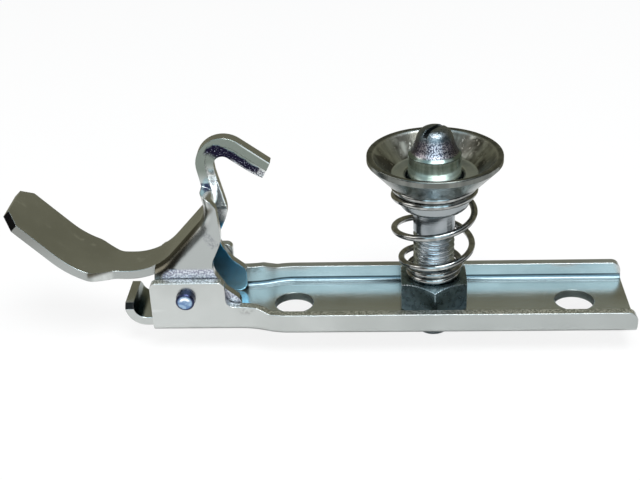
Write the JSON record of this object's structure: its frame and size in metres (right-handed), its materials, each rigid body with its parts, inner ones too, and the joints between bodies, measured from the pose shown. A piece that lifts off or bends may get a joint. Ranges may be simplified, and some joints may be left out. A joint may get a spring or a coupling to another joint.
{
  "type": "hood latch",
  "caption": "Upper hood latch: folded steel plate with bolt holes, adjustable striker pin with a sprung cup, and a hinged safety hook with its release lever.",
  "frame": {"origin": "midway between the centres of the two bolt holes, on the plate's outer face that seats on the hood, which is also where the striker pin's axis crosses that face", "axes": "+X along the plate towards its plain end and away from the safety hook, +Y across the plate towards the pivot pin's head, +Z along the striker pin towards its nose"},
  "size_m": [0.1804, 0.0382, 0.065],
  "materials": {
    "plate_steel": "satin zinc-plated sheet",
    "pin_steel": "turned and zinc plated",
    "nut_steel": "dark satin",
    "spring_steel": "drawn wire, semi-bright"
  },
  "bodies": {
    "base": {"base_channel": "plate_steel", "striker_pin": "pin_steel", "lock_nut": "nut_steel", "pivot_pin": "pin_steel", "compression_spring": "spring_steel", "torsion_spring": "spring_steel"},
    "hook": {"safety_hook_lever": "plate_steel"},
    "cup": {"spring_cup": "plate_steel"}
  },
  "joints": [
    {"name": "hook_release", "type": "hinge", "parent": "base", "child": "hook", "pos_m": [-0.0718, 0, 0.01185], "axis": [0, -1, 0], "range_deg": [0, 20], "stiffness_Nm_per_rad": 0.3, "springref_deg": -28.65, "deforming": ["torsion_spring"]},
    {"name": "cup_press", "type": "slide", "parent": "base", "child": "cup", "axis": [0, 0, -1], "range_m": [0, 0.01], "stiffness_N_per_m": 6000, "springref_m": -0.01, "deforming": ["compression_spring"]}
  ]
}
